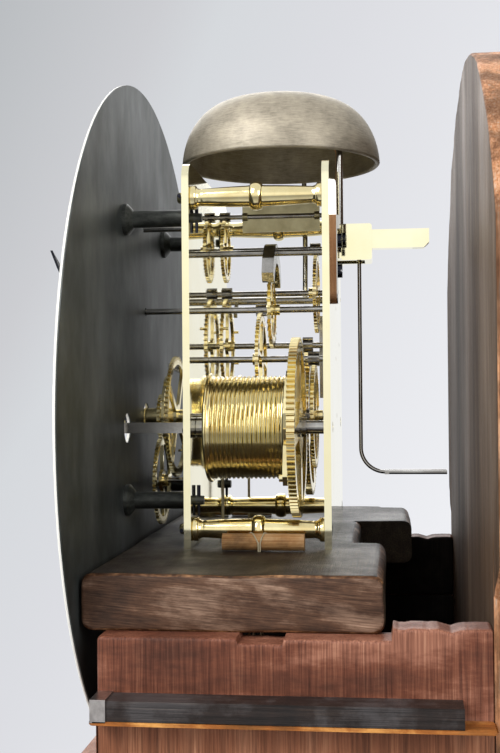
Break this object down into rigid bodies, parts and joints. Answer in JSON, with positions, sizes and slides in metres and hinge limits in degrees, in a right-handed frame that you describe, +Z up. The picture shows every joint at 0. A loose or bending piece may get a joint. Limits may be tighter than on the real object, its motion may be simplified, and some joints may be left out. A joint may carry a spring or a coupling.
{
  "type": "longcase clock",
  "caption": "Tall wooden case without its hood, holding a brass striking movement with bell and round dial on a seatboard.",
  "frame": {"origin": "on the floor, at the middle of the plinth", "axes": "+Z up, +Y towards the wall behind, dial faces -Y, +X to the right seen from the dial"},
  "size_m": [0.354, 0.2132, 1.785],
  "materials": {
    "polished_brass": "polished",
    "plate_brass": "polished",
    "steel": "polished",
    "blued_steel": "satin",
    "dial_iron": "satin",
    "foot_iron": "satin",
    "bell_metal": "satin",
    "case_wood": "satin",
    "board_wood": "matt",
    "toggle_wood": "matt",
    "gut": "satin",
    "cap_metal": "satin"
  },
  "bodies": {
    "clock": {"front_plate": "plate_brass", "back_plate": "plate_brass", "plate_pillars": "polished_brass", "taper_pins": "blued_steel", "dial_plate": "dial_iron", "dial_feet": "foot_iron", "back_cock": "plate_brass", "movement_screws": "blued_steel", "motion_bridge": "polished_brass", "plate_studs": "steel", "bell": "bell_metal", "bell_stand": "steel", "hammer_spring": "steel", "seatboard": "board_wood", "line_toggles": "toggle_wood", "gut_lines": "gut", "line_pulleys": "polished_brass", "case_sides": "case_wood", "backboard": "case_wood", "hood_rails": "case_wood", "rail_caps": "cap_metal", "trunk_frame": "case_wood", "case_mouldings": "case_wood", "case_base": "case_wood", "door_hinges": "polished_brass"},
    "door": {"trunk_door": "case_wood", "door_fittings": "polished_brass"},
    "going_great": {"going_great_wheel": "polished_brass"},
    "going_drum": {"going_barrel": "polished_brass", "going_winding_arbor": "steel"},
    "centre": {"centre_arbor": "steel", "centre_wheel": "polished_brass", "cannon_wheel": "polished_brass", "minute_hand": "blued_steel"},
    "third": {"third_arbor": "steel", "third_wheel": "polished_brass"},
    "escape": {"escape_arbor": "steel", "escape_wheel": "polished_brass", "seconds_hand": "blued_steel"},
    "minute": {"minute_wheel": "polished_brass"},
    "hour": {"hour_wheel": "polished_brass", "hour_hand": "blued_steel"},
    "date": {"date_wheel": "polished_brass"},
    "strike_great": {"strike_great_wheel": "polished_brass"},
    "strike_drum": {"strike_barrel": "polished_brass", "strike_winding_arbor": "steel"},
    "pin": {"pin_wheel_arbor": "steel", "pin_wheel": "polished_brass"},
    "gathering": {"gathering_arbor": "steel", "gathering_wheel": "polished_brass"},
    "warning": {"warning_arbor": "steel", "warning_wheel": "polished_brass"},
    "fly_body": {"fly_arbor": "steel", "fly": "polished_brass"},
    "pallets": {"anchor_pallets": "steel", "crutch": "steel"},
    "rack_body": {"rack": "steel"},
    "hook": {"rack_hook": "steel"},
    "lifting": {"lifting_piece": "steel"},
    "hammer_body": {"hammer": "steel"}
  },
  "joints": [
    {"name": "escape_spin", "type": "hinge", "parent": "clock", "child": "escape", "pos_m": [0, -0.0294, 1.6757], "axis": [0, 1, 0], "continuous": true},
    {"name": "third_spin", "type": "hinge", "parent": "clock", "child": "third", "pos_m": [0.004, -0.0294, 1.6525], "axis": [0, 1, 0], "continuous": true},
    {"name": "centre_spin", "type": "hinge", "parent": "clock", "child": "centre", "pos_m": [0, -0.0294, 1.6262], "axis": [0, 1, 0], "continuous": true},
    {"name": "going_great_spin", "type": "hinge", "parent": "clock", "child": "going_great", "pos_m": [0.0409, -0.0294, 1.6222], "axis": [0, 1, 0], "continuous": true},
    {"name": "going_winding", "type": "hinge", "parent": "going_great", "child": "going_drum", "pos_m": [0.0409, -0.0294, 1.6222], "axis": [0, 1, 0], "continuous": true},
    {"name": "minute_wheel_spin", "type": "hinge", "parent": "clock", "child": "minute", "pos_m": [-0.02449, -0.0294, 1.60905], "axis": [0, 1, 0], "continuous": true},
    {"name": "hour_spin", "type": "hinge", "parent": "clock", "child": "hour", "pos_m": [0, -0.0294, 1.6262], "axis": [0, 1, 0], "continuous": true},
    {"name": "date_spin", "type": "hinge", "parent": "clock", "child": "date", "pos_m": [0, -0.0294, 1.5963], "axis": [0, 1, 0], "continuous": true},
    {"name": "fly_spin", "type": "hinge", "parent": "clock", "child": "fly_body", "pos_m": [-0.027, -0.0294, 1.7234], "axis": [0, 1, 0], "continuous": true},
    {"name": "warning_spin", "type": "hinge", "parent": "clock", "child": "warning", "pos_m": [-0.0255, -0.0294, 1.7065], "axis": [0, 1, 0], "continuous": true},
    {"name": "gathering_spin", "type": "hinge", "parent": "clock", "child": "gathering", "pos_m": [-0.0319, -0.0294, 1.6858], "axis": [0, 1, 0], "continuous": true},
    {"name": "pin_spin", "type": "hinge", "parent": "clock", "child": "pin", "pos_m": [-0.0319, -0.0294, 1.6601], "axis": [0, 1, 0], "continuous": true},
    {"name": "strike_great_spin", "type": "hinge", "parent": "clock", "child": "strike_great", "pos_m": [-0.0409, -0.0294, 1.6222], "axis": [0, 1, 0], "continuous": true},
    {"name": "strike_winding", "type": "hinge", "parent": "strike_great", "child": "strike_drum", "pos_m": [-0.0409, -0.0294, 1.6222], "axis": [0, 1, 0], "continuous": true},
    {"name": "pallet_swing", "type": "hinge", "parent": "clock", "child": "pallets", "pos_m": [0, -0.0294, 1.7022], "axis": [0, 1, 0], "range_deg": [-2.5, 2.5]},
    {"name": "rack_fall", "type": "hinge", "parent": "clock", "child": "rack_body", "pos_m": [-0.05, -0.0294, 1.648], "axis": [0, 1, 0], "range_deg": [0, 17.5]},
    {"name": "lifting_swing", "type": "hinge", "parent": "clock", "child": "lifting", "pos_m": [-0.052, -0.0294, 1.599], "axis": [0, 1, 0], "range_deg": [-1.5, 0]},
    {"name": "hook_swing", "type": "hinge", "parent": "clock", "child": "hook", "pos_m": [-0.014, -0.0294, 1.699], "axis": [0, 1, 0], "range_deg": [0, 5.25]},
    {"name": "hammer_swing", "type": "hinge", "parent": "clock", "child": "hammer_body", "pos_m": [-0.0544, -0.0294, 1.684], "axis": [0, 1, 0], "range_deg": [-9, 0.8], "stiffness_Nm_per_rad": 0.05},
    {"name": "door_swing", "type": "hinge", "parent": "clock", "child": "door", "pos_m": [0.09325, -0.0698, 0.7], "axis": [0, 0, 1], "range_deg": [0, 110]}
  ],
  "couplings": [
    {"joint": "third_spin", "follows": "escape_spin", "ratio": -0.125},
    {"joint": "centre_spin", "follows": "escape_spin", "ratio": 0.016667},
    {"joint": "going_great_spin", "follows": "escape_spin", "ratio": -0.0013889},
    {"joint": "minute_wheel_spin", "follows": "escape_spin", "ratio": -0.016667},
    {"joint": "hour_spin", "follows": "escape_spin", "ratio": 0.0013889},
    {"joint": "date_spin", "follows": "escape_spin", "ratio": -0.00069444},
    {"joint": "warning_spin", "follows": "fly_spin", "ratio": -0.14583},
    {"joint": "gathering_spin", "follows": "fly_spin", "ratio": 0.020833},
    {"joint": "pin_spin", "follows": "fly_spin", "ratio": -0.0026042},
    {"joint": "strike_great_spin", "follows": "fly_spin", "ratio": 0.00026709},
    {"joint": "hook_swing", "follows": "lifting_swing", "ratio": -3.5}
  ]
}
